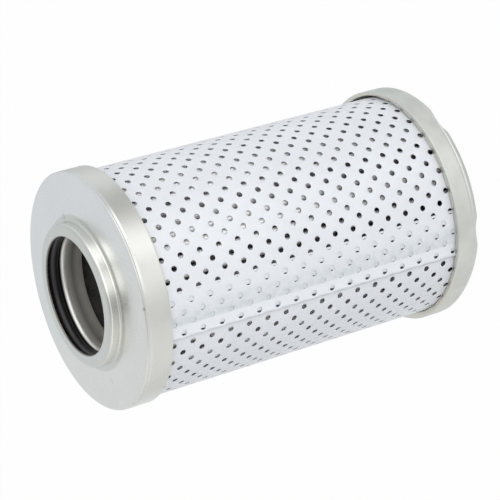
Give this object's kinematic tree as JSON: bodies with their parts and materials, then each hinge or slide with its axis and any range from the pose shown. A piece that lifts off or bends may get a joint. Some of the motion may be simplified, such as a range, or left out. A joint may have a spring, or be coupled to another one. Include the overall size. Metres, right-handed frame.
{
  "type": "hydraulic filter",
  "caption": "Cylindrical hydraulic filter element with a perforated metal guard, pressed end caps and a sealing ring in the neck of its open end.",
  "frame": {"origin": "middle of the closed end's underside, on the element's axis", "axes": "+Z along the axis from the closed end to the open end; the free edge of the guard's lap faces -Y"},
  "size_m": [0.0808, 0.0808, 0.1319],
  "materials": {
    "cap_plate": "pressed steel with a satin zinc plate",
    "collar_steel": "bright pressed steel",
    "guard_sheet": "pale galvanised sheet, satin",
    "core_steel": "black coated steel",
    "wire_mesh": "fine woven wire cloth",
    "glass_fibre": "matt glass-fibre web",
    "seal_rubber": "smooth black rubber",
    "adhesive": "cured casting adhesive"
  },
  "bodies": {
    "root": {"open_end_cap": "cap_plate", "closed_end_cap": "cap_plate", "seal_ring": "seal_rubber", "seal_collar": "collar_steel", "perforated_guard": "guard_sheet", "core_tube": "core_steel", "upstream_mesh": "wire_mesh", "filter_media": "glass_fibre", "downstream_mesh": "wire_mesh", "open_end_adhesive": "adhesive", "closed_end_adhesive": "adhesive"}
  },
  "joints": []
}
